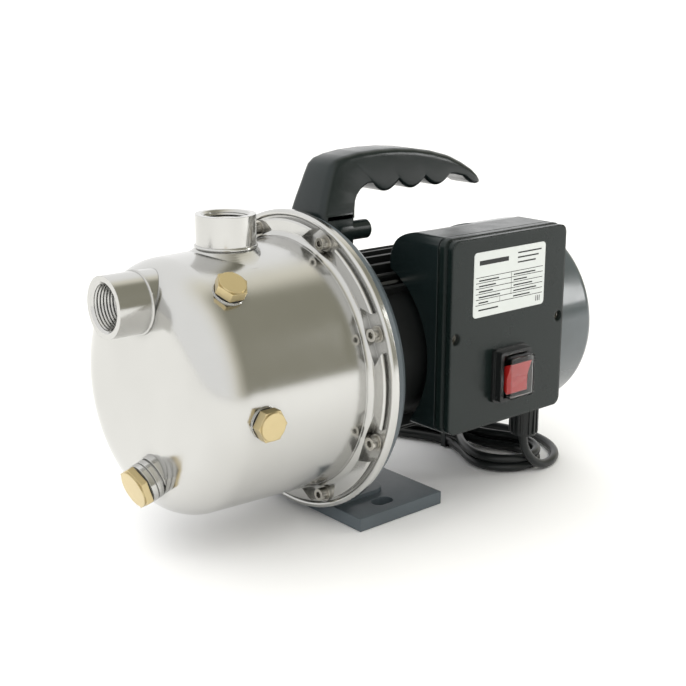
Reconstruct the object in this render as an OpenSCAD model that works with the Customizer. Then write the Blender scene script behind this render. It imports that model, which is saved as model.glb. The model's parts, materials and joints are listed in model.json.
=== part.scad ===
// Self-priming jet pump for shallow wells: stainless casing, painted adapter and foot,
// finned motor with a terminal box on its side.
// Origin: on the floor, under the middle of the foot plate. +X runs along the shaft from the pump to the fan.

/* [Pump casing] */
// Height of the shaft above the floor
axis_h = 114; // [112:1:118]
// Outer radius of the casing where it meets its flange
casing_r = 90; // [89:0.5:91]
// Outer radius of the casing at its front shoulder
shoulder_r = 87; // [86:0.5:88]
// Rounding of the front shoulder
shoulder_round = 29; // [26:1:30]
// Front face of the casing
casing_front_x = -176; // [-178:1:-174]
// Thickness of the deep-drawn casing
wall = 2; // [1.5:0.1:2.2]
// Radius of the bolted flange
flange_r = 108.5; // [107:0.5:109]
// Number of flange screws
flange_screws_n = 8; // [8:1:8]
// Radius of the flange screw circle
screw_circle_r = 98; // [97:0.5:99]

/* [Ports] */
// Outer radius of both threaded sockets
socket_r = 20.5; // [20:0.1:21.5]
// Minor radius of the G1 thread
thread_r = 15.15; // [15.1:0.01:15.2]
// Threaded length of both sockets
thread_l = 18; // [16:1:19]
// Mouth of the suction socket
suction_mouth_x = -200.5; // [-203:0.5:-198]
// Height of the suction socket's axis
suction_h = 175.5; // [174:0.5:177]
// Mouth of the discharge socket
discharge_top_h = 226; // [224:0.5:228]
// Position of the discharge socket along the shaft
discharge_x = -106; // [-108:1:-104]

/* [Foot] */
// Length of the foot plate along the shaft
foot_l = 80; // [76:1:84]
// Width of the foot plate
foot_w = 130; // [126:1:134]
// Thickness of the foot plate
foot_t = 9.5; // [8:0.5:10]
// Width of a foot slot
slot_w = 12; // [11:0.5:13]
// Length of a foot slot, end to end
slot_l = 18; // [16:0.5:20]
// Distance between the two slots
slot_spacing = 100; // [98:1:102]

/* [Motor] */
// Radius over the cooling ribs
rib_r = 70; // [69.5:0.5:70.5]
// Number of rib places round the frame
ribs_n = 36; // [36:1:36]
// Rear end of the ribbed frame
frame_end_x = 128; // [127:1:129]
// Radius of the fan cover
fan_cover_r = 78; // [77:0.5:79]
// Rear face of the fan cover
fan_cover_end_x = 198; // [196:1:200]

/* [Terminal box] */
// Front end of the box along the shaft
box_x0 = 17.5; // [16:0.5:18]
// Rear end of the box along the shaft
box_x1 = 140; // [139:0.5:140.5]
// Underside of the box
box_z0 = 64; // [63:0.5:65]
// Top of the box
box_z1 = 205.5; // [204:0.5:207]
// Outer face of the cover
box_face_y = -92; // [-93:0.5:-91]
// Depth of the cover
cover_d = 13; // [12:0.5:14]
// Deepest reach of the base behind the cover
base_d = 49; // [47:1:51]

/* [Cord] */
// Diameter of the mains lead
cord_d = 7; // [6.8:0.1:7.2]
// Straight run of the folded bundle
hank_run = 105; // [105:1:110]

/* [Hidden] */
$fn = 96;
eps = 0.01;

// Colours
steel = [0.78, 0.77, 0.73];
brass = [0.80, 0.66, 0.38];
paint = [0.20, 0.23, 0.26];
black = [0.08, 0.09, 0.09];
rubber = [0.05, 0.05, 0.05];
copper = [0.72, 0.40, 0.20];

// Places along the shaft
flange_back_x = -46;
flange_t = 3;
ring_t = 5;
ring_in_r = casing_r - wall;
ring_out_r = 102.5;
neck_top_h = 203.2;
weld_r = 1.1;
washer_t = 1.6;
adapter_r = 105.5;
adapter_disc_t = 12;
adapter_rim_t = 6.5;
adapter_end_x = -18;
foot_screw_x = [-26, 2];
shaft_front_x = -92;
stack_x0 = 15;
stack_x1 = 85;
stator_r = 57;
stator_slots = 24;
rotor_r = 33.7;
stator_bore_r = 34.2;

// Plugs on the side of the casing: distance along the shaft and angle from straight up towards -Y
side_plug_x = -140;
priming_angle = 35;
gauge_angle = 93;
side_seat_r = 88;
side_boss_r = 10.5;
plug_hex_r = 11;
plug_hex_t = 7.5;
plug_thread_r = 6.5;
seal_t = 1;

// Drain: place on the front of the casing and its tilt below the horizontal
drain_y = -13;
drain_z = 61;
drain_x = -174;
drain_tilt = 18;
drain_boss_l = 12;
drain_boss_r = 12.5;
drain_hex_r = 15;

// Terminal box
box_corner_r = 7;
box_wall = 3;
base_front_y = box_face_y + cover_d;
base_back_y = base_front_y + base_d;
back_round = 22;
box_mid_z = (box_z0 + box_z1) / 2;
screw_z = 135;
screw_inset = 6;
switch_x = 79;
switch_z = 101;
bezel_w = 36;
bezel_h = 40;
bezel_t = 8;
bezel_plate_t = 2.5;
rocker_w = 21.4;
rocker_h = 27;
pivot_y = box_face_y - 3.5;
cap_w = 25;
cap_h = 31;
cap_stand = 6.7;
pivot_l = 24.4;
pivot_r = 1.5;
rocker_tilt = 9;
gland_x = 128.3;
gland_y = -67.5;
gland_r = 11.7;
gland_z = 36;

// Cord
cord_r = cord_d / 2;
hank_x = 143;
hank_y0 = -33;
hank_out_r = 28 + cord_r;
hank_in_r = 21.5 - cord_r;
hank_out_angle = 24.3;
hank_in_angle = 24;
hank_waist_v = 45.5;
hank_eye_v = 44.2;
hank_z0 = 0.8;
hank_t = 2 * cord_d;
tie_w = 5;
plug_x = 88;
plug_y = 100;
plug_z = 18.5;
cord_sides = 8;
cord_route = [
    [128.3, -67.5, 36], [128.4, -67.5, 33.5], [129.6, -67.5, 26.6], [132.6, -67.8, 19.8],
    [137.8, -68.4, 13.1], [144.5, -68.8, 7.9],
    [152.3, -68.5, 4.7], [160.7, -67.2, 3.6], [169, -64.7, 3.6], [177, -60.4, 3.6], [184.5, -54, 3.6],
    [191, -46, 3.6], [196, -36.5, 3.6], [199.3, -26, 3.6], [200.8, -15, 3.6], [200, -4, 3.6], [197.4, 7, 3.6],
    [193.6, 18, 3.7], [189.2, 29, 3.8], [184.8, 40, 4], [180.4, 51, 4.2], [176.2, 62, 4.3],
    [172.2, 73, 4.3], [169, 82, 4.3]
];
tail_route = [[134, 100, 11.3], [124, 100, 11.6], [115, 100, 12.6], [106, 100, 14.8], [97, 100, 17.6],
    [92, 100, 18.4], [88, 100, 18.5]];

// Points of an arc round c with radius r, from angle a0 to a1
function arc(c, r, a0, a1, n) =
    [for (i = [0:n]) let (a = a0 + (a1 - a0) * i / n) c + r * [cos(a), sin(a)]];

// A solid turned about the shaft: its profile gives [radius, x]
module turned() { translate([0, 0, axis_h]) rotate([0, 90, 0]) rotate_extrude() children(); }

// A cylinder along the shaft
module rod_x(x0, x1, r) { translate([x0, 0, axis_h]) rotate([0, 90, 0]) cylinder(h = x1 - x0, r = r); }

// A ring along the shaft
module ring_x(x0, x1, r_out, r_in) {
    difference() {
        rod_x(x0, x1, r_out);
        rod_x(x0 - 1, x1 + 1, r_in);
    }
}

// A place at an angle from straight up towards -Y, at a radius from the shaft
module at_clock(angle, r) { translate([0, -r * sin(angle), axis_h + r * cos(angle)]) children(); }

// A place on the shaft whose +Z axis points out radially at an angle from straight up towards -Y
module out_at(x, angle) { translate([x, 0, axis_h]) rotate([angle, 0, 0]) children(); }

// A rectangle with round corners, centred, in the XY plane
module round_rect(w, h, r) {
    square([w - 2 * r, h], center = true);
    square([w, h - 2 * r], center = true);
    for (i = [-1, 1], j = [-1, 1]) translate([i * (w / 2 - r), j * (h / 2 - r)]) circle(r = r);
}

// A plate parallel to XZ from y0 to y1, from a 2D shape drawn in X and Z
module plate_y(y0, y1) { translate([0, y1, 0]) rotate([90, 0, 0]) linear_extrude(height = y1 - y0)
    children(); }

// --- Pump casing ---

// Profile of the casing, drawn smaller by inset
module casing_profile(inset) {
    centre = [shoulder_r - shoulder_round, casing_front_x + shoulder_round];
    corner = arc(centre, shoulder_round - inset, -90, 0, 36);
    polygon(concat([[0, flange_back_x + inset], [0, casing_front_x + inset]], corner,
        [[casing_r - inset, flange_back_x - flange_t], [casing_r - inset, flange_back_x + inset]]));
}

// Solid that fills the casing out to its outer surface
module casing_block() { turned() casing_profile(0); }

// Flared recess round one flange screw, open to the rim
module flange_pocket() {
    rotate([0, -90, 0]) linear_extrude(height = 20) polygon([[-6.2, -20], [5.5, -12], [5.5, 12], [-6.2, 20]]);
}

// Raised ring of the flange, with a hollow curve up from the casing and a round outer edge
module raised_ring() {
    face_x = flange_back_x - flange_t - ring_t;
    back_x = flange_back_x - flange_t + eps;
    flare = 4;
    edge = 1.5;
    turned() polygon(concat([[casing_r - 1, back_x], [casing_r - 1, face_x - flare]],
        arc([casing_r + flare, face_x - flare], flare, 180, 90, 8),
        arc([ring_out_r - edge, face_x + edge], edge, -90, 0, 6), [[ring_out_r, back_x]]));
}

// Neck drawn out of the casing below the discharge socket, spreading towards the sides
module discharge_neck() {
    translate([discharge_x, 0, 0]) rotate_extrude()
        polygon(concat([[17, 185], [17, neck_top_h]], arc([57.23, 250.7], 60, 232.4, 249.3, 8), [[36, 185]]));
}

module pump_casing() {
    bead_r = 2.2;
    color(steel) difference() {
        union() {
            casing_block();
            rod_x(flange_back_x - flange_t, flange_back_x, flange_r);
            turned() translate([flange_r - bead_r, flange_back_x - flange_t]) circle(r = bead_r);
            discharge_neck();
            difference() {
                raised_ring();
                for (i = [0:flange_screws_n - 1]) {
                    angle = (i + 0.5) * 360 / flange_screws_n;
                    translate([flange_back_x - flange_t, 0, axis_h]) rotate([angle, 0, 0])
                        translate([0, 0, screw_circle_r]) flange_pocket();
                }
            }
            for (angle = [priming_angle, gauge_angle]) out_at(side_plug_x, angle)
                cylinder(h = side_seat_r, r = side_boss_r);
        }
        turned() casing_profile(wall);
        rod_x(-60, flange_back_x + 1, ring_in_r);
        ring_x(flange_back_x - 0.8, flange_back_x + 1, 93, 89.5);
        for (angle = [priming_angle, gauge_angle]) out_at(side_plug_x, angle)
            cylinder(h = 200, r = plug_thread_r + 0.05);
        translate([-190, 0, suction_h]) rotate([0, 90, 0]) cylinder(h = 60, r = 17);
        translate([discharge_x, 0, 150]) cylinder(h = 80, r = 17);
        drain_place() translate([0, 0, -15]) cylinder(h = 60, r = 8.05);
        for (i = [0:flange_screws_n - 1]) at_clock((i + 0.5) * 360 / flange_screws_n, screw_circle_r)
            translate([-60, 0, 0]) rotate([0, 90, 0]) cylinder(h = 30, r = 3.3);
    }
}

// Bore of a G1 socket: mouth at z = 0, going down
module socket_bore(depth) {
    chamfer = 1.6;
    translate([0, 0, -depth]) cylinder(h = depth - chamfer - thread_l, r = 17);
    translate([0, 0, -chamfer - thread_l - eps]) cylinder(h = thread_l + 2 * eps, r = thread_r);
    translate([0, 0, -chamfer]) cylinder(h = chamfer + eps, r1 = thread_r, r2 = thread_r + chamfer);
}

// A threaded socket with its weld ring, mouth at z = 0, going down
module socket(length, ring_depth) {
    difference() {
        union() {
            translate([0, 0, -length]) cylinder(h = length, r = socket_r);
            translate([0, 0, -ring_depth]) rotate_extrude() translate([socket_r, 0])
                circle(r = weld_r, $fn = 24);
        }
        socket_bore(length + 1);
    }
}

module suction_socket() {
    color(steel) difference() {
        translate([suction_mouth_x, 0, suction_h]) rotate([0, -90, 0]) socket(50, 24);
        casing_block();
    }
}

module discharge_socket() {
    length = discharge_top_h - neck_top_h;
    color(steel) translate([discharge_x, 0, discharge_top_h]) socket(length, length - weld_r);
}

// Frame of the drain: +Z points out of the casing, forwards and a little down
module drain_place() { translate([drain_x, drain_y, drain_z]) rotate([0, -90 - drain_tilt, 0]) children(); }

module drain_boss() {
    color(steel) difference() {
        drain_place() difference() {
            union() {
                translate([0, 0, -10]) cylinder(h = drain_boss_l + 10, r = drain_boss_r);
                translate([0, 0, -10]) cylinder(h = 12.5, r = 14.5);
                for (z = [3.5, 8]) translate([0, 0, z]) cylinder(h = 3.7, r = drain_boss_r + 1.2);
            }
            translate([0, 0, -30]) cylinder(h = 60, r = 8.05);
        }
        casing_block();
    }
}

// A hexagon-headed plug: its sealing face at z = 0
module hex_plug(hex_r, hex_t, thread, depth) {
    cylinder(h = hex_t - 1, r = hex_r, $fn = 6);
    translate([0, 0, hex_t - 1]) cylinder(h = 1, r = hex_r * cos(30) - 0.4);
    translate([0, 0, -depth]) cylinder(h = depth + 1, r = thread);
}

// A flat ring seal standing on z = 0
module flat_seal(r_out, r_in) {
    difference() {
        cylinder(h = seal_t, r = r_out);
        translate([0, 0, -1]) cylinder(h = seal_t + 2, r = r_in);
    }
}

module side_plug(angle) {
    color(brass) out_at(side_plug_x, angle) translate([0, 0, side_seat_r + seal_t])
        hex_plug(plug_hex_r, plug_hex_t, plug_thread_r, 9);
}

module side_seal(angle) {
    color(rubber) out_at(side_plug_x, angle) translate([0, 0, side_seat_r])
        flat_seal(9.5, plug_thread_r + 0.05);
}

module priming_plug() side_plug(priming_angle);
module priming_seal() side_seal(priming_angle);
module gauge_plug() side_plug(gauge_angle);
module gauge_seal() side_seal(gauge_angle);

module drain_plug() { color(brass) drain_place() translate([0, 0, drain_boss_l + seal_t])
    hex_plug(drain_hex_r, 5.5, 8, 14); }
module drain_seal() { color(rubber) drain_place() translate([0, 0, drain_boss_l]) flat_seal(11, 8.05); }

// --- Inside the pump ---

// Chamber that joins the suction socket to the ejector on the shaft line
module ejector_body() {
    color(black) difference() {
        union() {
            rod_x(-172, -128, 26);
            translate([-168, -16, axis_h]) cube([32, 32, suction_h - axis_h]);
            translate([-178, 0, suction_h]) rotate([0, 90, 0]) cylinder(h = 40, r = 17);
        }
        rod_x(-152, -100, 18);
        rod_x(-168, -151, 13);
        rod_x(-180, -160, 8);
        translate([-150, -12, axis_h]) cube([10, 24, suction_h - axis_h]);
        translate([-179, 0, suction_h]) rotate([0, 90, 0]) cylinder(h = 39, r = 13);
    }
}

// Nozzle that blows the returning water into the venturi
module jet_nozzle() {
    color(brass) turned() polygon([[3.2, -138], [5, -138], [7.5, -149], [13, -152], [13, -168],
        [10.5, -168], [10.5, -153], [5.5, -149]]);
}

module venturi_tube() {
    color("ivory") turned() polygon([[18, -136], [11, -128], [8, -117], [8, -112], [18.5, -88], [18.5, -85],
        [26, -85], [26, -88], [21.5, -89], [11, -112], [11, -117], [14, -127], [18, -130]]);
}

module diffuser() {
    color("ivory") difference() {
        union() {
            ring_x(-85, -82, 84, 22.2);
            ring_x(-85, flange_back_x, 84, 81);
            for (i = [0:9]) translate([0, 0, axis_h]) rotate([i * 36, 0, 0])
                translate([-82, -1.2, 65]) cube([35, 2.4, 17]);
        }
        rod_x(-100, -40, 22.2);
    }
}

// Closed impeller with six swept blades
module impeller() {
    blade_t = 2.2;
    color(brass) {
        difference() {
            union() {
                ring_x(-80, -77.8, 62, 18.5);
                rod_x(-66, -63.8, 62);
                ring_x(-84.5, -78, 21.7, 18.5);
                rod_x(-83, -60, 12);
                translate([-78, 0, axis_h]) rotate([0, 90, 0]) linear_extrude(height = 12.5) for (i = [0:5])
                    rotate(i * 60) intersection() {
                        translate([36, 0]) difference() {
                            circle(r = 25);
                            circle(r = 25 - blade_t);
                            translate([-40, -50]) square([120, 50]);
                        }
                        circle(r = 61);
                    }
            }
            rod_x(-95, -50, 7.02);
        }
    }
}

module impeller_nut() {
    color(steel) difference() {
        translate([-90, 0, axis_h]) rotate([0, 90, 0]) cylinder(h = 7, r = 10, $fn = 6);
        rod_x(-95, -80, 7.02);
    }
}

module seal_seat() { color("white") ring_x(-50, -44, 14.4, 8.6); }
module seal_rotor() { color([0.15, 0.15, 0.16]) ring_x(-56, -50.3, 12.5, 7.02); }

// Coil of the mechanical seal's spring, as its stacked turns
module seal_spring() {
    color(steel) for (x = [-59.3, -58, -56.7]) translate([x, 0, axis_h]) rotate([0, 90, 0])
        rotate_extrude() translate([9.6, 0]) circle(r = 0.7, $fn = 16);
}

module seal_plate() {
    color(steel) difference() {
        union() {
            rod_x(-46, -44, 93);
            rod_x(-52, -44, 18);
        }
        rod_x(-60, -40, 14.4);
    }
}

module casing_gasket() { color(rubber) ring_x(-46.8, -46, 92.9, 89.6); }

module flange_washers() {
    color(steel) for (i = [0:flange_screws_n - 1]) at_clock((i + 0.5) * 360 / flange_screws_n, screw_circle_r)
        translate([flange_back_x - flange_t - washer_t, 0, 0]) rotate([0, 90, 0]) difference() {
            cylinder(h = washer_t, r = 5.8);
            translate([0, 0, -1]) cylinder(h = 4, r = 3.2);
        }
}

// A socket-head screw along X: the head's seat at x = 0, the thread towards +X
module socket_screw(head_r, head_l, r, l) {
    rotate([0, 90, 0]) difference() {
        union() {
            translate([0, 0, -head_l]) cylinder(h = head_l, r = head_r);
            cylinder(h = l, r = r);
        }
        translate([0, 0, -head_l - 1]) cylinder(h = head_l * 0.6 + 1, r = head_r * 0.58, $fn = 6);
    }
}

module flange_screws() {
    color(steel) for (i = [0:flange_screws_n - 1]) at_clock((i + 0.5) * 360 / flange_screws_n, screw_circle_r)
        translate([flange_back_x - flange_t - washer_t, 0, 0]) socket_screw(4.4, 5.5, 2.95, 16);
}

// --- Adapter, foot and handle ---

module adapter() {
    color(paint) difference() {
        union() {
            turned() polygon([[0, flange_back_x], [adapter_r, flange_back_x],
                [adapter_r, flange_back_x + adapter_rim_t],
                [adapter_r - 4, flange_back_x + adapter_disc_t], [0, flange_back_x + adapter_disc_t]]);
            rod_x(flange_back_x, adapter_end_x, rib_r);
            translate([-46, -28, foot_t]) cube([27.9, 56, 60]);
            translate([-17, 0, foot_t]) linear_extrude(height = 3) round_rect(58, 74, 12);
            translate([-20, -5, foot_t]) cube([22, 10, 11]);
            translate([foot_screw_x[1], 0, foot_t]) cylinder(h = 11, r = 9);
        }
        rod_x(-47, -44, 93.1);
        rod_x(-45, -34, 45);
        rod_x(-32, -10, 20);
        rod_x(-45, -10, 16);
        ring_x(-28, -10, 57, 26);
        translate([-60, -200, -20]) cube([100, 400, 20 + foot_t]);
        for (i = [0:flange_screws_n - 1]) at_clock((i + 0.5) * 360 / flange_screws_n, screw_circle_r)
            translate([-50, 0, 0]) rotate([0, 90, 0]) cylinder(h = 20, r = 3);
        for (y = [-13, 13]) translate([-42, y, 205]) rotate([0, 90, 0]) cylinder(h = 10, r = 2.5);
        for (a = [35, 145, 215, 325]) at_clock(a, 66) translate([-30, 0, 0]) rotate([0, 90, 0])
            cylinder(h = 20, r = 2.5);
        for (x = foot_screw_x) translate([x, 0, 0]) cylinder(h = 17, r = 4);
    }
}

module slinger() { color(rubber) ring_x(-40, -37, 13, 7.02); }

module foot_plate() {
    color(paint) difference() {
        translate([-foot_l / 2, -foot_w / 2, 0]) cube([foot_l, foot_w, foot_t]);
        for (s = [-1, 1]) translate([-6, s * slot_spacing / 2, 0]) {
            for (d = [-1, 1]) translate([d * (slot_l - slot_w) / 2, 0, -1]) cylinder(h = 20, r = slot_w / 2);
            translate([-(slot_l - slot_w) / 2, -slot_w / 2, -1]) cube([slot_l - slot_w, slot_w, 20]);
        }
        for (x = foot_screw_x) translate([x, 0, -1]) {
            cylinder(h = 20, r = 4.2);
            cylinder(h = 6, r = 7);
        }
    }
}

module foot_screws() {
    color(steel) for (x = foot_screw_x) translate([x, 0, 5]) rotate([0, -90, 0])
        socket_screw(6.5, 4.4, 3.95, 11);
}

// Side outline of the carry handle, in X and Z
module handle_side() {
    polygon([[-38, 219.6], [-25.5, 254], [-12, 258.5], [2, 260.5], [20, 261.5], [38, 261.3], [56, 259.8],
        [74, 257],
        [92, 252.5], [108, 246], [120, 239.5], [128, 233.5], [131, 230], [129.5, 227.8], [125, 227],
        [120.5, 228],
        [115, 231.5], [109, 235], [102, 236.8], [94, 237], [14, 238], [6, 236], [0, 232.5], [-4, 227.5],
        [-6, 221],
        [-6, 215.5], [-8, 215.5], [-8, 219.6]]);
}

// Cross outline of the carry handle, in Y and Z: wide at its foot, with round upper edges
module handle_section() {
    edge = 7;
    half = 15.5;
    polygon(concat([[-19, 200], [-19, 221], [-half, 242]], arc([edge - half, 262 - edge], edge, 180, 90, 8),
        arc([half - edge, 262 - edge], edge, 90, 0, 8), [[half, 242], [19, 221], [19, 200]]));
}

module handle() {
    color(black) difference() {
        union() {
            intersection() {
                plate_y(-20, 20) handle_side();
                translate([-60, 0, 0]) rotate([90, 0, 90]) linear_extrude(height = 220) handle_section();
            }
            for (x = [24.5, 51.5, 78]) translate([x, 0, 238.4]) rotate([90, 0, 0])
                cylinder(h = 28, r = 8, center = true);
            translate([-34, -19, 196]) cube([26.1, 38, 23.7]);
            for (y = [-13, 13]) translate([-20, y, 205]) rotate([0, 90, 0]) cylinder(h = 29, r = 7);
        }
        for (y = [-13, 13]) {
            translate([-50, y, 205]) rotate([0, 90, 0]) cylinder(h = 80, r = 2.7);
            translate([4, y, 205]) rotate([0, 90, 0]) cylinder(h = 10, r = 4.8);
        }
    }
}

module handle_screws() {
    color(steel) for (y = [-13, 13]) translate([4, y, 205]) mirror([1, 0, 0]) socket_screw(4.4, 5, 2.45, 44);
}

// --- Motor ---

module motor_frame() {
    color(black) difference() {
        union() {
            rod_x(adapter_end_x, frame_end_x, 62);
            for (i = [0:ribs_n - 1]) {
                angle = i * 360 / ribs_n;
                under_box = angle > 45 && angle < 135;
                if (!under_box) out_at(adapter_end_x, angle) translate([0, -1.1, 60])
                    cube([frame_end_x - adapter_end_x, 2.2, rib_r - 60]);
            }
            intersection() {
                rod_x(30, 110, rib_r);
                translate([30, -rib_r, 90]) cube([80, 20, 50]);
            }
        }
        rod_x(adapter_end_x - 1, frame_end_x + 1, stator_r);
        translate([60, -80, 110]) cube([20, 40, 12]);
    }
}

module stator_core() {
    color([0.45, 0.46, 0.48]) difference() {
        rod_x(stack_x0, stack_x1, stator_r);
        rod_x(stack_x0 - 1, stack_x1 + 1, stator_bore_r);
        for (i = [0:stator_slots - 1]) out_at(stack_x0 - 1, i * 360 / stator_slots)
            translate([0, -1.6, 36]) cube([stack_x1 - stack_x0 + 2, 3.2, 12]);
    }
}

module stator_windings() {
    color(copper) {
        turned() polygon(concat([[36, 15]], arc([39, 2], 3, 180, 270, 4), arc([47, 2], 3, 270, 360, 4),
            [[50, 15]]));
        turned() polygon(concat([[50, 85]], arc([47, 98], 3, 0, 90, 4), arc([39, 98], 3, 90, 180, 4),
            [[36, 85]]));
        for (i = [0:stator_slots - 1]) out_at(stack_x0 - 1, i * 360 / stator_slots)
            translate([0, -1.5, 36.1]) cube([stack_x1 - stack_x0 + 2, 3, 11.8]);
    }
}

module shaft() {
    color(steel) union() {
        rod_x(shaft_front_x, -36, 7);
        rod_x(-36.01, -19.5, 8.45);
        rod_x(-19.51, 129, 11);
        rod_x(128.99, 146, 7.45);
        rod_x(145.99, 178, 7);
    }
}

module rotor_core() {
    color([0.5, 0.5, 0.52]) difference() {
        union() {
            rod_x(16, 84, rotor_r);
            ring_x(11, 89, 30, 18);
        }
        rod_x(0, 100, 11.02);
    }
}

// A ball bearing as one piece: its two rings, their shields recessed between them
module bearing(x0, x1, r_out, r_in) {
    color([0.7, 0.7, 0.72]) difference() {
        ring_x(x0, x1, r_out, r_in);
        ring_x(x0 - 1, x0 + 0.8, r_out - 3, r_in + 3);
        ring_x(x1 - 0.8, x1 + 1, r_out - 3, r_in + 3);
    }
}

module front_bearing() bearing(-32, -20, 20, 8.5);
module rear_bearing() bearing(130, 141, 17.5, 7.5);

// Waved washer that preloads the rear bearing
module wave_spring() { color(steel) ring_x(141, 142, 16.5, 12); }

module rear_shield() {
    color(black) difference() {
        union() {
            rod_x(frame_end_x, 142, rib_r);
            rod_x(142, 150, fan_cover_r - 1.5);
        }
        ring_x(frame_end_x - 1, 139, 60, 24);
        rod_x(frame_end_x - 1, 142, 17.5);
        rod_x(frame_end_x - 1, 160, 10);
        ring_x(145, 160, 72, 24);
        for (a = [35, 145, 215, 325]) at_clock(a, 66) translate([120, 0, 0]) rotate([0, 90, 0])
            cylinder(h = 40, r = 2.6);
        for (a = [45, 135, 225, 315]) out_at(146, a) translate([0, 0, 60]) cylinder(h = 30, r = 1.95);
    }
}

module tie_rods() {
    color(steel) for (a = [35, 145, 215, 325]) at_clock(a, 66) translate([145, 0, 0]) mirror([1, 0, 0])
        socket_screw(4.2, 3.5, 2.4, 170);
}

module fan() {
    color([0.12, 0.12, 0.13]) difference() {
        union() {
            rod_x(153, 174, 14);
            rod_x(156, 158.5, 48);
            for (i = [0:7]) out_at(157, i * 45) translate([0, -1.2, 12]) cube([20, 2.4, 54]);
        }
        rod_x(140, 190, 7.02);
    }
}

module fan_cover() {
    edge = 9;
    skin = 1.5;
    end = fan_cover_end_x;
    color(paint) difference() {
        turned() polygon(concat([[0, end - skin], [0, end]],
            arc([fan_cover_r - edge, end - edge], edge, 90, 0, 10),
            [[fan_cover_r, 142], [fan_cover_r - skin, 142]],
            arc([fan_cover_r - edge, end - edge], edge - skin, 0, 90, 10)));
        for (row = [1:4], i = [0:row * 8 - 1]) translate([180, 0, axis_h]) rotate([i * 360 / (row * 8), 0, 0])
            translate([0, 0, 10 + row * 12]) rotate([0, 90, 0]) cylinder(h = 30, r = 3.2);
        for (a = [45, 135, 225, 315]) out_at(146, a) translate([0, 0, 60]) cylinder(h = 30, r = 2.2);
    }
}

module fan_cover_screws() {
    color(steel) for (a = [45, 135, 225, 315]) out_at(146, a) translate([0, 0, fan_cover_r]) {
        cylinder(h = 1.6, r = 3.6);
        translate([0, 0, -10]) cylinder(h = 10.5, r = 1.9);
    }
}

// --- Terminal box ---

// Rectangle of the box in X and Z, drawn smaller by inset
module box_outline(inset) {
    translate([(box_x0 + box_x1) / 2, box_mid_z])
        round_rect(box_x1 - box_x0 - 2 * inset, box_z1 - box_z0 - 2 * inset, box_corner_r - inset);
}

// Block of the base from its front to its rounded back, drawn smaller by inset
module base_block(inset, front_y) {
    back = base_back_y - inset;
    top = box_z1 - inset;
    intersection() {
        plate_y(front_y, back) box_outline(inset);
        rotate([90, 0, 90]) linear_extrude(height = 200) polygon(concat([[front_y, box_z0], [back, box_z0]],
            arc([back - back_round, top - back_round], back_round, 0, 90, 12), [[front_y, top]]));
    }
}

module box_base() {
    color(black) difference() {
        base_block(0, base_front_y + 1);
        rod_x(0, 150, rib_r);
        difference() {
            base_block(box_wall, base_front_y);
            rod_x(0, 150, rib_r + box_wall);
            for (x = [box_x0 + screw_inset, box_x1 - screw_inset]) translate([x, base_front_y, screw_z])
                rotate([-90, 0, 0])
                cylinder(h = 40, r = 5);
        }
        for (x = [box_x0 + screw_inset, box_x1 - screw_inset]) translate([x, base_front_y, screw_z])
            rotate([-90, 0, 0])
            cylinder(h = 12, r = 1.8);
        translate([gland_x, gland_y, box_z0 - 1]) cylinder(h = 6, r = 6.05);
        translate([gland_x, gland_y, box_z0 + box_wall]) cylinder(h = 4.2, r = 8);
        translate([60, -80, 110]) cube([20, 12, 12]);
    }
}

module box_gasket() {
    color(rubber) difference() {
        plate_y(base_front_y, base_front_y + 1) difference() {
            box_outline(1);
            box_outline(box_wall + 1);
        }
    }
}

module box_cover() {
    color(black) difference() {
        union() {
            plate_y(box_face_y, box_face_y + 5) box_outline(0.6);
            plate_y(box_face_y + 5, box_face_y + 7) box_outline(1.8);
            plate_y(box_face_y + 7, base_front_y) box_outline(0);
        }
        difference() {
            plate_y(box_face_y + box_wall, base_front_y + 1) box_outline(box_wall + 0.8);
            for (x = [box_x0 + screw_inset, box_x1 - screw_inset]) translate([x, box_face_y, screw_z])
                rotate([-90, 0, 0])
                cylinder(h = 40, r = 5.5);
        }
        for (x = [box_x0 + screw_inset, box_x1 - screw_inset]) translate([x, box_face_y - 1, screw_z])
            rotate([-90, 0, 0]) {
            cylinder(h = 30, r = 2.2);
            cylinder(h = 7, r = 4);
        }
        translate([switch_x - 13.2, box_face_y - 1, switch_z - 15.2]) cube([26.4, 10, 30.4]);
    }
}

module box_screws() {
    color(steel) for (x = [box_x0 + screw_inset, box_x1 - screw_inset])
        translate([x, box_face_y + 6, screw_z])
        rotate([0, 0, 90]) socket_screw(3.8, 3, 1.75, 16);
}

module rating_label() {
    color([0.82, 0.83, 0.82]) plate_y(box_face_y - 0.4, box_face_y) translate([77.5, 171])
        round_rect(76, 47, 3);
}

module terminal_block() {
    color("ivory") difference() {
        translate([50, -78, box_z0 + box_wall]) cube([48, 11, 16]);
        for (x = [56:12:92]) translate([x, -79, box_z0 + 11]) rotate([-90, 0, 0]) cylinder(h = 7, r = 3);
    }
}

module capacitor() {
    color([0.85, 0.85, 0.83]) translate([28, -62, 179.25]) rotate([0, 90, 0]) union() {
        cylinder(h = 78, r = 17);
        translate([0, 0, 77]) cylinder(h = 4, r = 13);
        for (s = [-5, 5]) translate([s - 0.4, -3, 80]) cube([0.8, 6, 9]);
    }
}

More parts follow.
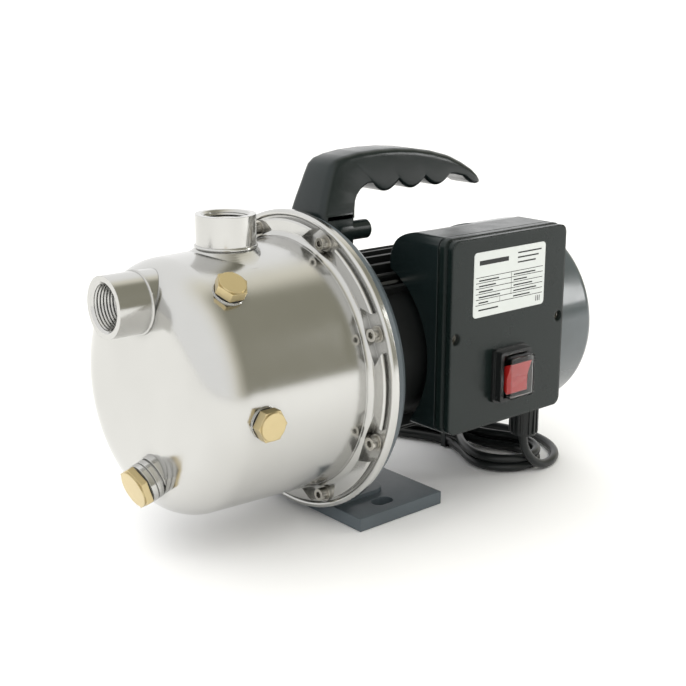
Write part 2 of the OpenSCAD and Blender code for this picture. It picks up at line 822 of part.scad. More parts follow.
// Switch frame and body, with the rocker's well open to the front
module switch_body() {
    well_w = rocker_w + 1;
    well_h = rocker_h + 1;
    face = box_face_y - bezel_t;
    color(rubber) difference() {
        union() {
            plate_y(box_face_y - bezel_plate_t, box_face_y) translate([switch_x, switch_z])
                round_rect(bezel_w, bezel_h, 3);
            plate_y(face, box_face_y - 1) translate([switch_x, switch_z])
                round_rect(bezel_w - 3.6, bezel_h - 3, 2);
            plate_y(box_face_y - eps, box_face_y + 14) translate([switch_x, switch_z])
                square([26, 30], center = true);
        }
        plate_y(face - 1, face + 2) translate([switch_x, switch_z])
            square([cap_w + 0.8, cap_h + 0.8], center = true);
        plate_y(face, box_face_y + 11) translate([switch_x, switch_z])
            square([well_w, well_h], center = true);
        translate([switch_x - pivot_l / 2 - 0.1, pivot_y, switch_z]) rotate([0, 90, 0])
            cylinder(h = pivot_l + 0.2, r = pivot_r + 0.05);
    }
}

// Rocker: two flats meeting over its pivot, with a stub of the pivot at each side
module switch_rocker() {
    tip = 11.8;
    color([0.8, 0.05, 0.04]) translate([switch_x, pivot_y, switch_z]) rotate([rocker_tilt, 0, 0])
        rotate([90, 0, 90]) {
        linear_extrude(height = rocker_w, center = true)
            polygon(concat(arc([0, 0], 6, -90, 90, 10), [[-3, 9], [-7.8, tip], [-6, 0], [-7.8, -tip],
                [-3, -9]]));
        cylinder(h = pivot_l, r = pivot_r, center = true);
    }
}

// Clear splash cover with a rim that seats in the switch frame
module splash_cap() {
    face = box_face_y - bezel_t;
    color([0.9, 0.92, 0.92, 0.4]) difference() {
        plate_y(face - cap_stand, face + 2) translate([switch_x, switch_z])
            round_rect(cap_w, cap_h, 2);
        plate_y(face - cap_stand + 1, face + 3) translate([switch_x, switch_z])
            round_rect(cap_w - 2.4, cap_h - 2.4, 1);
    }
}

// --- Lead ---

module gland_body() {
    color(black) difference() {
        translate([gland_x, gland_y, 0]) union() {
            translate([0, 0, box_z0 - 4]) cylinder(h = 4, r = gland_r);
            translate([0, 0, box_z0 - 1]) cylinder(h = 8, r = 6);
            translate([0, 0, box_z0 + 3]) cylinder(h = 4, r = 7.8, $fn = 6);
        }
        translate([gland_x, gland_y, box_z0 - 10]) cylinder(h = 30, r = cord_r + 0.3);
    }
}

// Ribbed sleeve below the gland, narrower towards the lead
module strain_relief() {
    length = box_z0 - 4 - gland_z;
    ribs = 16;
    color(rubber) difference() {
        translate([gland_x, gland_y, gland_z]) union() {
            cylinder(h = length, r1 = gland_r - 1.9, r2 = gland_r - 0.9);
            for (i = [0:ribs - 1]) rotate([0, 0, i * 360 / ribs]) translate([gland_r - 4, -0.9, 2])
                cube([3.7, 1.8, length - 2]);
        }
        translate([gland_x, gland_y, gland_z + 4]) cylinder(h = 40, r = cord_r + 0.3);
    }
}

// Direction of a route at point i
function heading(path, i) =
    let (a = path[max(i - 1, 0)], b = path[min(i + 1, len(path) - 1)]) (b - a) / norm(b - a);

// One side direction for every ring, kept level so that the rings don't twist
function side_of(t) = let (s = abs(t[2]) > 0.95 ? cross(t, [0, -1, 0]) : cross(t, [0, 0, 1])) s / norm(s);

// Round tube of radius r swept along a path, closed at both ends
module swept_tube(path, r) {
    n = len(path);
    k = cord_sides;
    rings = [for (i = [0:n - 1]) let (t = heading(path, i), u = side_of(t), v = cross(t, u))
        for (j = [0:k - 1]) path[i] + r * (cos(j * 360 / k) * u + sin(j * 360 / k) * v)];
    sides = [for (i = [0:n - 2], j = [0:k - 1]) let (a = i * k, b = a + k, next = (j + 1) % k)
        [a + j, a + next, b + next, b + j]];
    ends = [[for (j = [k - 1:-1:0]) j], [for (j = [0:k - 1]) (n - 1) * k + j]];
    polyhedron(points = rings, faces = concat(sides, ends));
}

module power_cord() { color(rubber) swept_tube(cord_route, cord_r); }
module cord_tail() { color(rubber) swept_tube(tail_route, cord_r); }

// Outline of the folded bundle: a wide loop at each end, drawn in at the tie
module hank_outline() {
    waist = 2 * cord_d;
    a = hank_out_angle;
    polygon(concat(arc([0, 0], hank_out_r, 180 - a, 360 + a, 32), [[waist, hank_waist_v],
        [waist, hank_run - hank_waist_v]],
        arc([0, hank_run], hank_out_r, -a, 180 + a, 32), [[-waist, hank_run - hank_waist_v],
        [-waist, hank_waist_v]]));
}

// Open eye of one loop, drawn to a point towards the tie
module hank_eye() {
    a = hank_in_angle;
    polygon(concat(arc([0, 0], hank_in_r, 180 - a, 360 + a, 32), [[0, hank_eye_v]]));
}

module cord_hank() {
    color(rubber) translate([hank_x, hank_y0, hank_z0]) linear_extrude(height = hank_t) difference() {
        hank_outline();
        hank_eye();
        translate([0, hank_run]) mirror([0, 1]) hank_eye();
    }
}

// Tie round the waist of the bundle
module cord_tie() {
    tie_t = 0.8;
    w = 2 * cord_d;
    color("black") translate([hank_x, hank_y0 + (hank_run - tie_w) / 2, 0]) difference() {
        translate([-w - tie_t, 0, 0]) cube([2 * w + 2 * tie_t, tie_w, hank_t + 2 * tie_t]);
        translate([-w, -1, tie_t]) cube([2 * w, tie_w + 2, hank_t]);
    }
}

// Moulded two-pole plug lying on its side, its lead entering from +X
module plug_body() {
    color(black) difference() {
        translate([plug_x, plug_y, plug_z]) rotate([0, -90, 0]) union() {
            cylinder(h = 24, r1 = 5, r2 = 9);
            translate([0, 0, 24]) cylinder(h = 10, r1 = 9, r2 = 18.4);
            translate([0, 0, 34]) cylinder(h = 26, r = 18.4);
        }
        for (s = [-1, 1]) translate([plug_x - 70, plug_y + s * 9.5, plug_z]) rotate([0, 90, 0])
            cylinder(h = 22, r = 2.4);
    }
}

module plug_pins() {
    color(brass) for (s = [-1, 1]) translate([plug_x - 78, plug_y + s * 9.5, plug_z]) rotate([0, 90, 0])
        cylinder(h = 29.9, r = 2.39);
}

pump_casing();
suction_socket();
discharge_socket();
drain_boss();
priming_plug();
priming_seal();
gauge_plug();
gauge_seal();
drain_plug();
drain_seal();
ejector_body();
jet_nozzle();
venturi_tube();
diffuser();
impeller();
impeller_nut();
seal_seat();
seal_rotor();
seal_spring();
seal_plate();
casing_gasket();
flange_washers();
flange_screws();
adapter();
slinger();
foot_plate();
foot_screws();
handle();
handle_screws();
motor_frame();
stator_core();
stator_windings();
shaft();
rotor_core();
front_bearing();
rear_bearing();
wave_spring();
rear_shield();
tie_rods();
fan();
fan_cover();
fan_cover_screws();
box_base();
box_gasket();
box_cover();
box_screws();
rating_label();
terminal_block();
capacitor();
switch_body();
switch_rocker();
splash_cap();
gland_body();
strain_relief();
power_cord();
cord_hank();
cord_tail();
cord_tie();
plug_body();
plug_pins();
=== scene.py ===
import json
import math

import bmesh
import bpy
from mathutils import Euler, Matrix, Vector


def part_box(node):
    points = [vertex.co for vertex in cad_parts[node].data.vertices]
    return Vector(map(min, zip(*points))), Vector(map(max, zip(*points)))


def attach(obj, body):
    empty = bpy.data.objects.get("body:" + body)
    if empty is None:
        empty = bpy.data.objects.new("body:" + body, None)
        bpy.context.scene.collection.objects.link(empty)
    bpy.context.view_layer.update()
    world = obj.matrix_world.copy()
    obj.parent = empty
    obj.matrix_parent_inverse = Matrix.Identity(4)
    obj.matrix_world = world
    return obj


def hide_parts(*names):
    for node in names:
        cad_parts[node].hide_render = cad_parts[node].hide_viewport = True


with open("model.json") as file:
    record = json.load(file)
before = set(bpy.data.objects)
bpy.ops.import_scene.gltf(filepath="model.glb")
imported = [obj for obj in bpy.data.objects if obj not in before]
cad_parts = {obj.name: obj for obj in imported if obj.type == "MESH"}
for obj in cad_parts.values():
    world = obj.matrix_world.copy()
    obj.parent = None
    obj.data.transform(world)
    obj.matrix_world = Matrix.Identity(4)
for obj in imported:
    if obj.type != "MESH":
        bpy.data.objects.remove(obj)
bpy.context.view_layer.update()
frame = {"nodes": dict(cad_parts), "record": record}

MM = 0.001
NODES = frame["nodes"]


# --- Camera, at the photograph's viewing angle ---

CAM_PLACE = (-0.5668, -0.6527, 0.3562)
CAM_AZIMUTH = 40.89  # from +Y towards +X
CAM_PITCH = 12.83  # below the horizon
CAM_ROLL = 0.36
CAM_LENS = 63.1
CAM_SHIFT = -0.08

camera_data = bpy.data.cameras.new("camera")
camera_data.lens = CAM_LENS
camera_data.sensor_width = 36
camera_data.shift_y = CAM_SHIFT
camera = bpy.data.objects.new("camera", camera_data)
camera.location = CAM_PLACE
camera.rotation_mode = "XYZ"
turn = Euler((math.radians(90 - CAM_PITCH), 0, math.radians(-CAM_AZIMUTH)), "XYZ").to_matrix()
camera.rotation_euler = (turn @ Matrix.Rotation(math.radians(CAM_ROLL), 3, "Z")).to_euler("XYZ")
bpy.context.scene.collection.objects.link(camera)
bpy.context.scene.camera = camera


# --- Mains lead ---

CORD_D = 0.007
# Free run from the gland to the bundle, in millimetres
FREE_RUN = [
    (128.3, -67.5, 36), (128.4, -67.5, 33.5), (129.6, -67.5, 26.6), (132.6, -67.8, 19.8),
    (137.8, -68.4, 13.1), (144.5, -68.8, 7.9), (152.3, -68.5, 4.7), (160.7, -67.2, 3.6),
    (169, -64.7, 3.6), (177, -60.4, 3.6), (184.5, -54, 3.6), (191, -46, 3.6), (196, -36.5, 3.6),
    (199.3, -26, 3.6), (200.8, -15, 3.6), (200, -4, 3.6), (197.4, 7, 3.6), (193.6, 18, 3.7),
    (189.2, 29, 3.8), (184.8, 40, 4), (180.4, 51, 4.2), (176.2, 62, 4.3), (172.2, 73, 4.3),
]
# From the bundle to the plug
TAIL = [
    (134, 100, 11.3), (124, 100, 11.6), (115, 100, 12.6), (106, 100, 14.8), (97, 100, 17.6),
    (92, 100, 18.4), (88, 100, 18.5),
]
HANK_X, HANK_Y = 143, -33  # middle of the bundle's near loops
HANK_RUN = 105  # from the middle of the near loops to that of the far ones
OUTER = (28, 24.3, 10.5)  # loop radius, angle of its sides, distance from the middle at the waist
INNER = (21.5, 24, 3.5)
LOW_Z, HIGH_Z = 4.3, 11.3  # middle of the lower and of the upper layer
WAIST_V = (47, 58)  # the tied waist, along the run
BEND_V = 28  # where a side leaves its loop, along the run
BEND_PULL = 1.2  # how much more a side leans to the waist than to its loop there
START_ANGLE, END_ANGLE = 12, 84  # where the bundle starts and ends on its far loops


def loop(track, z, far, first, last, n):
    """Points round one end of the bundle, from one angle to another."""
    r = track[0]
    middle = HANK_RUN if far else 0
    steps = [math.radians(first + (last - first) * i / (n - 1)) for i in range(n)]
    return [(r * math.cos(a), middle + r * math.sin(a), z) for a in steps]


def side(a, za, b, zb, sign, up):
    """Points along one side of the bundle, from track a to track b."""
    def bend(track):
        on_loop = track[0] * math.cos(math.radians(track[1]))
        return sign * (on_loop + BEND_PULL * track[2]) / (1 + BEND_PULL)

    w = sign * a[2]
    waist = [(w, WAIST_V[0], (za + zb) / 2 if up else za), (w, WAIST_V[1], zb)]
    return [(bend(a), BEND_V, za)] + waist + [(bend(b), HANK_RUN - BEND_V, zb)]


def bundle():
    """The whole bundle, counterclockwise from above, from its far right to its far end."""
    points = []
    tracks = [(OUTER, LOW_Z), (INNER, LOW_Z), (OUTER, HIGH_Z)]
    far = [(OUTER, LOW_Z), (INNER, LOW_Z), (INNER, HIGH_Z), (OUTER, HIGH_Z)]
    for i, (near, z) in enumerate(tracks):
        start, start_z = far[i]
        begin = START_ANGLE if i == 0 else -start[1]
        points += loop(start, start_z, True, begin, 180 + start[1], 9)
        points += [(x, HANK_RUN - y, h) for x, y, h in side(start, start_z, near, z, -1, False)]
        points += loop(near, z, False, 180 - near[1], 360 + near[1], 9)
        after, after_z = far[i + 1]
        points += side(near, z, after, after_z, 1, i == 1)
    points += loop(OUTER, HIGH_Z, True, -OUTER[1], END_ANGLE, 5)
    return [(HANK_X + x, HANK_Y + y, z) for x, y, z in points]


def smooth_line(points, steps):
    """Catmull-Rom line through points given in millimetres, in metres."""
    places = [Vector(p) * MM for p in points]
    places = [2 * places[0] - places[1]] + places + [2 * places[-1] - places[-2]]
    line = []
    for i in range(1, len(places) - 2):
        a, b, c, d = places[i - 1:i + 3]
        for k in range(steps):
            t = k / steps
            curve = (2 * a - 5 * b + 4 * c - d) * t * t + (3 * b - a - 3 * c + d) * t ** 3
            line.append(0.5 * (2 * b + (c - a) * t + curve))
    return line + [places[-2]]


def new_object(name, bm, smooth_angle=40):
    """A piece from a bmesh, smooth where its faces meet at less than the angle."""
    bmesh.ops.recalc_face_normals(bm, faces=bm.faces)
    for face in bm.faces:
        face.smooth = True
    limit = math.radians(smooth_angle)
    for edge in bm.edges:
        edge.smooth = len(edge.link_faces) == 2 and edge.calc_face_angle(0) < limit
    mesh = bpy.data.meshes.new(name)
    bm.to_mesh(mesh)
    bm.free()
    obj = bpy.data.objects.new(name, mesh)
    bpy.context.scene.collection.objects.link(obj)
    return obj


def circle(place, radius, across, up, sides):
    """Points round a circle, from two directions across its axis."""
    turns = [2 * math.pi * j / sides for j in range(sides)]
    return [place + radius * (math.cos(t) * across + math.sin(t) * up) for t in turns]


def skin(bm, rings, closed_ends=True):
    """Joins rings of points into a skin, with a face over each end."""
    loops = [[bm.verts.new(p) for p in ring] for ring in rings]
    n = len(loops[0])
    for low, high in zip(loops, loops[1:]):
        for j in range(n):
            bm.faces.new((low[j], low[(j + 1) % n], high[(j + 1) % n], high[j]))
    if closed_ends:
        bm.faces.new(loops[0][::-1])
        bm.faces.new(loops[-1])


def tube(name, line, radius, sides=14):
    """A round tube along a line, whose rings don't twist."""
    bm = bmesh.new()
    rings = []
    across = Vector((0, 1, 0))
    for i, place in enumerate(line):
        ahead = (line[min(i + 1, len(line) - 1)] - line[max(i - 1, 0)]).normalized()
        across = (across - ahead * across.dot(ahead)).normalized()
        rings.append(circle(place, radius, across, ahead.cross(across), sides))
    skin(bm, rings)
    return new_object(name, bm)


LEAD_LINE = smooth_line(FREE_RUN + bundle() + TAIL, 4)
lead = tube("mains_lead", LEAD_LINE, CORD_D / 2)
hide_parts("power_cord", "cord_hank", "cord_tail")
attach(lead, "pump")


# --- Carry handle: one lofted body, its saddle and its two screw bosses ---

# Outer and inner points in X and Z with the half width there, in millimetres
COLUMN = [
    ((-38, 215), (-6, 215), 19), ((-37.2, 220.5), (-6, 221), 19), ((-34.5, 229), (-4.5, 227), 18),
    ((-31, 238), (-2, 230.5), 17), ((-28, 246), (2, 234), 16.2), ((-25, 252.5), (6, 236), 15.8),
    ((-20.5, 256.3), (10, 237.4), 15.5),
]
TIP = [
    ((108, 246), (99, 237), 15), ((120, 239.5), (109, 235), 14.4), ((127, 234.5), (115, 231.5), 13.6),
    ((130, 231.2), (120, 228.6), 12.6), ((130.8, 229.6), (125.5, 227.3), 11.5),
    ((130.4, 228.4), (129.4, 227.7), 10),
]
GRIP_TOP = [
    (-12, 258.7), (2, 260.7), (20, 261.5), (38, 261.3), (56, 259.8), (74, 257), (92, 252.5),
    (100, 249.6),
]
TOP_START, TOP_RUN = -12, 108  # the grip's top, in X
UNDER_START, UNDER_RUN = 14, 79.5  # the grip's underside, in X
FINGER_PITCH = 26.5
FINGER_START = 13.7
FINGER_FULLNESS = 0.85  # below 1 the waves are blunt and the ridges sharp
UNDER_H, FINGER_DEPTH = 237.8, 7.2
GRIP_HALF = 15.5
GRIP_SECTIONS = 72
ROUND_TOP, ROUND_UNDER = 5.5, 3  # corner radii of the sections


def along(points, x):
    """Height at x on a line through points."""
    for (x0, z0), (x1, z1) in zip(points, points[1:]):
        if x <= x1:
            return z0 + (z1 - z0) * (x - x0) / (x1 - x0)
    return points[-1][1]


def grip_sections():
    """Sections of the grip: its underside waves under the fingers."""
    sections = []
    for i in range(GRIP_SECTIONS + 1):
        t = i / GRIP_SECTIONS
        under_x = UNDER_START + UNDER_RUN * t
        top_x = TOP_START + TOP_RUN * t
        wave = abs(math.sin(math.pi * (under_x - FINGER_START) / FINGER_PITCH))
        finger = wave ** FINGER_FULLNESS
        under = (under_x, UNDER_H - FINGER_DEPTH * finger)
        sections.append(((top_x, along(GRIP_TOP, top_x)), under, GRIP_HALF))
    return sections


def section_ring(outer, inner, half):
    """Rounded rectangle between an outer and an inner point."""
    top = Vector((outer[0], 0, outer[1]))
    under = Vector((inner[0], 0, inner[1]))
    height = (top - under).length
    up = (top - under) / height
    across = Vector((0, 1, 0))
    points = []
    for sy, from_top, first in ((1, True, 0), (-1, True, 90), (-1, False, 180), (1, False, 270)):
        r = min(ROUND_TOP if from_top else ROUND_UNDER, height * 0.42, half * 0.6)
        centre_y = sy * (half - r)
        centre_h = height - r if from_top else r
        for k in range(6):
            a = math.radians(first + 90 * k / 5)
            y, h = centre_y + r * math.cos(a), centre_h + r * math.sin(a)
            points.append((under + across * y + up * h) * MM)
    return points


def rod(bm, start, end, radius, sides=32, edge=0.0006):
    """A round bar with small chamfers at both ends."""
    start, end = Vector(start) * MM, Vector(end) * MM
    radius *= MM
    axis = (end - start).normalized()
    across = axis.orthogonal().normalized()
    up = axis.cross(across)
    small = radius - edge
    stations = [
        (start, small), (start + axis * edge, radius), (end - axis * edge, radius), (end, small),
    ]
    skin(bm, [circle(place, r, across, up, sides) for place, r in stations])


def block(bm, low, high, edge):
    """A box with rounded edges, between two corners in millimetres."""
    part = bmesh.new()
    bmesh.ops.create_cube(part, size=1)
    low, high = Vector(low) * MM, Vector(high) * MM
    size = high - low
    for v in part.verts:
        v.co = Vector((low[i] + size[i] * (v.co[i] + 0.5) for i in range(3)))
    bmesh.ops.bevel(
        part, geom=part.edges[:], offset=edge * MM, segments=3, affect="EDGES", profile=0.5
    )
    copy = bpy.data.meshes.new("part")
    part.to_mesh(copy)
    part.free()
    bm.from_mesh(copy)
    bpy.data.meshes.remove(copy)


bm = bmesh.new()
sections = COLUMN + grip_sections() + TIP
skin(bm, [section_ring(a, b, half) for a, b, half in sections])
block(bm, (-34, -19, 196), (-7.9, 19, 219), 1.2)
for y in (-13, 13):
    rod(bm, (-20, y, 205), (9, y, 205), 7, edge=0.001)
handle = new_object("handle_grip", bm, 38)
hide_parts("handle")
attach(handle, "pump")


# --- Threads cut inside both sockets ---


def thread_lines(name, mouth, inward):
    """Sawtooth rings just inside the bore of a G1 socket, in millimetres."""
    pitch = 2.309
    lead_in = 2.2
    turns_deep = 7
    root_r, crest_r = 15.2, 14.55
    inward = Vector(inward)
    across = inward.orthogonal().normalized()
    up = inward.cross(across)
    profile = []
    for i in range(turns_deep):
        profile += [(root_r, lead_in + i * pitch), (crest_r, lead_in + (i + 0.5) * pitch)]
    profile.append((root_r, lead_in + turns_deep * pitch))
    rings = []
    for r, depth in profile:
        place = Vector(mouth) * MM + inward * depth * MM
        rings.append(circle(place, r * MM, across, up, 64))
    bm = bmesh.new()
    skin(bm, rings, False)
    obj = new_object(name, bm, 20)
    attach(obj, "pump")
    return obj


THREADS = [
    thread_lines("suction_thread", (-200.5, 0, 175.5), (1, 0, 0)),
    thread_lines("discharge_thread", (-106, 0, 226), (0, 0, -1)),
]


# --- Print on the rating label: a ruled table without lettering ---

LABEL_LOW, LABEL_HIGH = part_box("rating_label")
LABEL_FACE = LABEL_LOW[1]


def label_print():
    """Thin ink bars on the label: a heading, a ruled table with filled rows and a small mark."""
    bm = bmesh.new()
    wide = LABEL_HIGH[0] - LABEL_LOW[0]
    tall = LABEL_HIGH[2] - LABEL_LOW[2]

    def bar(u0, v0, u1, v1):
        x0, x1 = LABEL_LOW[0] + u0 * wide, LABEL_LOW[0] + u1 * wide
        z0, z1 = LABEL_LOW[2] + v0 * tall, LABEL_LOW[2] + v1 * tall
        front, back = LABEL_FACE - 0.00006, LABEL_FACE + 0.0001
        skin(bm, [[(x0, y, z0), (x1, y, z0), (x1, y, z1), (x0, y, z1)] for y in (front, back)])

    rule = 0.00044 / tall
    for v in (0.19, 0.275, 0.36, 0.445, 0.53, 0.615):
        bar(0.03, v - rule / 2, 0.97, v + rule / 2)
    bar(0.515, 0.275, 0.519, 0.615)
    bar(0.36, 0.19, 0.364, 0.275)
    bar(0.07, 0.80, 0.47, 0.87)
    for v, u in ((0.885, 0.94), (0.81, 0.9), (0.735, 0.86)):
        bar(0.60, v, u, v + 0.022)
    for row, v in enumerate((0.555, 0.47, 0.385, 0.30, 0.215)):
        bar(0.07, v, (0.34, 0.30, 0.26, 0.36, 0.2)[row], v + 0.02)
        bar(0.55, v, (0.86, 0.74, 0.82, 0.88, 0.79)[row], v + 0.02)
    bar(0.07, 0.1, 0.34, 0.122)
    for i in range(3):
        bar(0.88 + 0.025 * i, 0.07, 0.89 + 0.025 * i, 0.155)
    return new_object("label_print", bm)


ink = label_print()
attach(ink, "pump")


# --- Materials ---


class Shader:
    """A small helper that adds nodes to one material and links them."""

    def __init__(self, name):
        self.mat = bpy.data.materials.new(name)
        self.mat.use_nodes = True
        self.nodes = self.mat.node_tree.nodes
        self.links = self.mat.node_tree.links
        self.bsdf = self.nodes["Principled BSDF"]
        self.coord = self.nodes.new("ShaderNodeTexCoord")

    def set(self, **values):
        for key, value in values.items():
            self.bsdf.inputs[key.replace("_", " ")].default_value = value

    def link(self, out, to):
        self.links.new(out, to)

    def noise(self, scale, detail=4, stretch=(1, 1, 1), rough=0.6):
        mapping = self.nodes.new("ShaderNodeMapping")
        mapping.inputs["Scale"].default_value = stretch
        self.link(self.coord.outputs["Object"], mapping.inputs["Vector"])
        node = self.nodes.new("ShaderNodeTexNoise")
        node.inputs["Scale"].default_value = scale
        node.inputs["Detail"].default_value = detail
        node.inputs["Roughness"].default_value = rough
        self.link(mapping.outputs["Vector"], node.inputs["Vector"])
        return node.outputs["Fac"]

    def ramp(self, fac, low, high, start=0.3, end=0.7):
        node = self.nodes.new("ShaderNodeMapRange")
        node.inputs["From Min"].default_value = start
        node.inputs["From Max"].default_value = end
        node.inputs["To Min"].default_value = low
        node.inputs["To Max"].default_value = high
        self.link(fac, node.inputs["Value"])
        return node.outputs["Result"]

    def mix(self, fac, a, b):
        node = self.nodes.new("ShaderNodeMix")
        node.data_type = "RGBA"
        for socket, value in ((node.inputs[0], fac), (node.inputs[6], a), (node.inputs[7], b)):
            if isinstance(value, (int, float)):
                socket.default_value = value
            elif isinstance(value, tuple):
                socket.default_value = (*value, 1)
            else:
                self.link(value, socket)
        return node.outputs[2]

    def bump(self, height, strength, distance, edge=0.0):
        node = self.nodes.new("ShaderNodeBump")
        node.inputs["Strength"].default_value = strength
        node.inputs["Distance"].default_value = distance
        self.link(height, node.inputs["Height"])
        if edge:
            rounded = self.nodes.new("ShaderNodeBevel")
            rounded.samples = 4
            rounded.inputs["Radius"].default_value = edge
            self.link(rounded.outputs["Normal"], node.inputs["Normal"])
        self.link(node.outputs["Normal"], self.bsdf.inputs["Normal"])

    def corners(self, distance, amount):
        """Ambient-occlusion mask for painted shade: rises from 0 on open faces to the given amount in
        deep corners.
        """
        node = self.nodes.new("ShaderNodeAmbientOcclusion")
        node.samples = 8
        node.inputs["Distance"].default_value = distance
        return self.ramp(node.outputs["AO"], amount, 0, 0.3, 0.95)


def painted(
    name, color, rough, grain=900, strength=0.12, edge=0.0006, coat=0.0, vary=0.12, specular=0.5,
):
    """Paint or moulded plastic: a fine grain, slow colour drift and uneven gloss."""
    s = Shader(name)
    s.set(Specular_IOR_Level=specular)
    slow = s.noise(18, 3)
    fine = s.noise(grain, 2)
    dark = tuple(c * (1 - vary) for c in color)
    light = tuple(min(1, c * (1 + vary)) for c in color)
    s.link(s.mix(s.ramp(slow, 0, 1), dark, light), s.bsdf.inputs["Base Color"])
    s.link(s.ramp(s.noise(60, 4), rough - 0.04, rough + 0.05), s.bsdf.inputs["Roughness"])
    s.bump(fine, strength, 0.0002, edge)
    if coat:
        s.set(Coat_Weight=coat, Coat_Roughness=0.1)
    return s.mat


def metal(
    name, color, rough, stretch=(1, 1, 1), grain=300, strength=0.05, edge=0.0005, vary=0.06,
    painted_shade=0.0,
):
    """Bare metal: fine lines in its gloss, a slow drift in its tone and painted shade darkening its
    corners.
    """
    s = Shader(name)
    slow = s.noise(14, 3)
    lines = s.noise(grain, 3, stretch)
    dark = tuple(c * (1 - vary) for c in color)
    light = tuple(min(1, c * (1 + vary)) for c in color)
    tone = s.mix(s.ramp(slow, 0, 1), dark, light)
    # painted shade: the base colour darkens towards 0.3 of itself in corners and recesses found by
    # ambient occlusion
    if painted_shade:
        tone = s.mix(s.corners(0.007, painted_shade), tone, tuple(c * 0.3 for c in color))
    s.link(tone, s.bsdf.inputs["Base Color"])
    s.link(s.ramp(lines, rough * 0.94, rough * 1.07), s.bsdf.inputs["Roughness"])
    s.set(Metallic=1.0)
    s.bump(lines, strength, 0.0001, edge)
    return s.mat


MATERIALS = {
    # the last argument of each metal below sets how deep the painted shade in its corners is
    "stainless": metal(
        "stainless", (0.575, 0.572, 0.555), 0.17, grain=160, strength=0.008, edge=0.0007,
        vary=0.03, painted_shade=0.4,
    ),
    "fasteners": metal("fasteners", (0.60, 0.58, 0.53), 0.2, grain=700, painted_shade=0.6),
    "brass": metal(
        "brass", (0.62, 0.51, 0.29), 0.3, grain=250, strength=0.02, edge=0.0008, painted_shade=0.5
    ),
    "adapter_paint": painted("adapter_paint", (0.080, 0.099, 0.112), 0.36, 1400, 0.2, 0.001),
    "motor_paint": painted("motor_paint", (0.008, 0.009, 0.009), 0.4, 1200, 0.2),
    "cover_plastic": painted("cover_plastic", (0.068, 0.083, 0.090), 0.22, 1500, 0.05, 0.001, 0.5),
    "box_plastic": painted(
        "box_plastic", (0.006, 0.011, 0.010), 0.24, 2200, 0.08, 0.0026, specular=0.3
    ),
    "handle_plastic": painted(
        "handle_plastic", (0.007, 0.012, 0.012), 0.22, 2000, 0.08, 0.001, specular=0.4
    ),
    "label_foil": painted("label_foil", (0.66, 0.69, 0.67), 0.4, 1800, 0.05, 0, 0, 0.03),
    "rubber": painted("rubber", (0.012, 0.012, 0.012), 0.6, 1600, 0.2),
    "cord_rubber": painted(
        "cord_rubber", (0.010, 0.012, 0.012), 0.34, 1600, 0.2, 0, specular=0.35
    ),
    "switch_black": painted(
        "switch_black", (0.008, 0.009, 0.009), 0.24, 1800, 0.08, 0.0008, specular=0.35
    ),
    "rocker_red": painted("rocker_red", (0.42, 0.012, 0.010), 0.25, 900, 0.05, 0.0008, coat=0.2),
    "inner_plastic": painted("inner_plastic", (0.62, 0.64, 0.63), 0.4),
    "ceramic": painted("ceramic", (0.8, 0.79, 0.75), 0.3),
    "carbon": painted("carbon", (0.03, 0.03, 0.032), 0.4),
    "steel": metal("steel", (0.55, 0.55, 0.56), 0.3, grain=500),
    "laminations": metal("laminations", (0.32, 0.32, 0.34), 0.45, (1, 0.02, 0.02), 900, 0.4),
    "copper": metal("copper", (0.62, 0.26, 0.12), 0.35, (1, 0.05, 0.05), 900, 0.5),
    "capacitor_shell": painted("capacitor_shell", (0.75, 0.75, 0.73), 0.35),
}


def clear_plastic():
    s = Shader("clear_plastic")
    s.set(Base_Color=(0.98, 0.98, 0.98, 1), Transmission_Weight=1.0, IOR=1.26)
    s.link(s.ramp(s.noise(90, 3), 0.01, 0.04), s.bsdf.inputs["Roughness"])
    s.bump(s.noise(160, 3), 0.05, 0.0003, 0.0008)
    return s.mat


MATERIALS["clear_plastic"] = clear_plastic()

SLOT_OF = {entry["node"]: entry["material_slot"] for entry in frame["record"]["subparts"]}
for name, obj in NODES.items():
    obj.data.materials.clear()
    obj.data.materials.append(MATERIALS[SLOT_OF[name]])
lead.data.materials.append(MATERIALS["cord_rubber"])
handle.data.materials.append(MATERIALS["handle_plastic"])
ink.data.materials.append(MATERIALS["switch_black"])
for obj in THREADS:
    obj.data.materials.append(MATERIALS["stainless"])


# --- Floor and light ---


def plane(name, size, place):
    mesh = bpy.data.meshes.new(name)
    half = size / 2
    corners = [(-half, -half, 0), (half, -half, 0), (half, half, 0), (-half, half, 0)]
    mesh.from_pydata(corners, [], [(0, 1, 2, 3)])
    obj = bpy.data.objects.new(name, mesh)
    obj.location = place
    bpy.context.scene.collection.objects.link(obj)
    return obj


FLOOR_SIZE = 12
FLOOR_H = -0.0005  # just under the feet
floor = plane("floor", FLOOR_SIZE, (0, 0, FLOOR_H))
floor_look = Shader("floor_look")
floor_drift = floor_look.ramp(floor_look.noise(3, 3), 0, 1)
floor_tone = floor_look.mix(floor_drift, (0.93, 0.93, 0.93), (0.95, 0.95, 0.95))
floor_look.link(floor_tone, floor_look.bsdf.inputs["Base Color"])
floor_look.set(Roughness=0.9)
floor.data.materials.append(floor_look.mat)

bpy.context.scene.view_settings.view_transform = "Standard"

world = bpy.data.worlds.new("studio")
world.use_nodes = True
bpy.context.scene.world = world

WARM_GREY = (0.84, 0.81, 0.70)
DARK_GREY = (0.31, 0.30, 0.24)
STUDIO_STRENGTH = 1.15


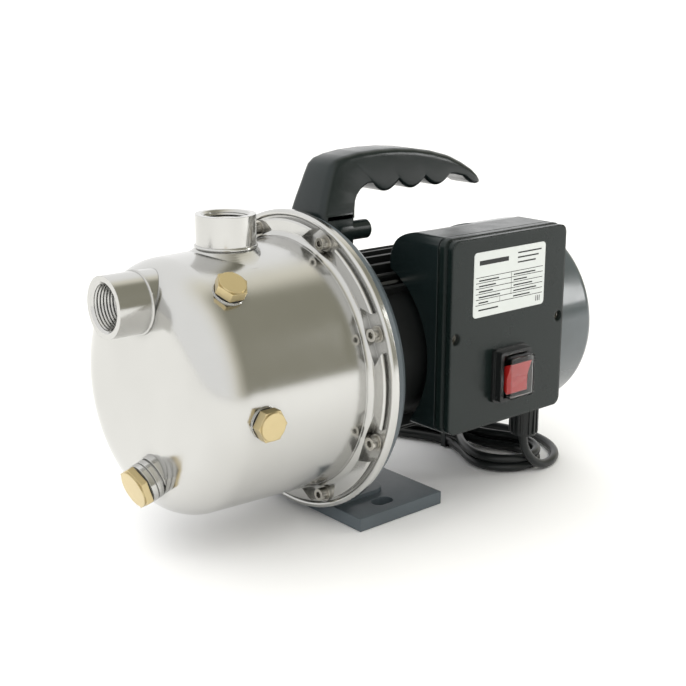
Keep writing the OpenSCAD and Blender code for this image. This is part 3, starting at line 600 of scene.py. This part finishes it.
def studio(tree):
    """A white studio. What lights the object has a warm grey side to the front right."""
    nodes, links = tree.nodes, tree.links
    coord = nodes.new("ShaderNodeTexCoord")
    split = nodes.new("ShaderNodeSeparateXYZ")
    links.new(coord.outputs["Generated"], split.inputs[0])

    def step(out, start, end):
        node = nodes.new("ShaderNodeMapRange")
        node.interpolation_type = "SMOOTHSTEP"
        node.inputs["From Min"].default_value = start
        node.inputs["From Max"].default_value = end
        links.new(out, node.inputs["Value"])
        return node.outputs["Result"]

    def times(a, b):
        node = nodes.new("ShaderNodeMath")
        node.operation = "MULTIPLY"
        links.new(a, node.inputs[0])
        links.new(b, node.inputs[1])
        return node.outputs["Value"]

    def over(below, mask, color):
        node = nodes.new("ShaderNodeMix")
        node.data_type = "RGBA"
        links.new(below, node.inputs[6])
        node.inputs[7].default_value = (*color, 1)
        links.new(mask, node.inputs[0])
        return node.outputs[2]

    white = nodes.new("ShaderNodeRGB").outputs[0]
    white.default_value = (1, 1, 1, 1)
    warm = times(step(split.outputs["X"], -0.7, 0.2), step(split.outputs["Y"], 0.5, 0.1))
    dark = times(step(split.outputs["X"], -0.35, 0.45), step(split.outputs["Y"], 0.16, -0.16))
    shaded = over(over(white, warm, WARM_GREY), dark, DARK_GREY)
    seen = nodes.new("ShaderNodeLightPath").outputs["Is Camera Ray"]
    links.new(over(shaded, seen, (1, 1, 1)), nodes["Background"].inputs["Color"])
    nodes["Background"].inputs["Strength"].default_value = STUDIO_STRENGTH


studio(world.node_tree)


def area(name, place, aim, size, power, mirrored=True):
    """A rectangular light, hidden from mirrors where mirrored is False."""
    data = bpy.data.lights.new(name, "AREA")
    data.shape = "RECTANGLE"
    data.size, data.size_y = size
    data.energy = power
    obj = bpy.data.objects.new(name, data)
    obj.location = place
    obj.rotation_euler = (Vector(aim) - Vector(place)).to_track_quat("-Z", "Y").to_euler()
    obj.visible_glossy = mirrored
    bpy.context.scene.collection.objects.link(obj)


def overhead(strength, spread):
    """Even soft light from above."""
    data = bpy.data.lights.new("overhead", "SUN")
    data.energy = strength
    data.angle = math.radians(spread)
    obj = bpy.data.objects.new("overhead", data)
    obj.rotation_euler = (math.radians(12), math.radians(-14), 0)
    obj.visible_glossy = False
    bpy.context.scene.collection.objects.link(obj)


MIDDLE = (0, 0, 0.12)  # of the pump
overhead(strength=1.0, spread=80)
area("key", (-1.2, -0.9, 1.5), MIDDLE, (1.6, 1.6), 7, mirrored=False)
area("rim", (0.6, 1.4, 1.4), MIDDLE, (1.6, 1.0), 6, mirrored=False)
area("side", (1.35, -1.08, 0.68), (0.15, 0, 0.12), (0.3, 0.7), 5)
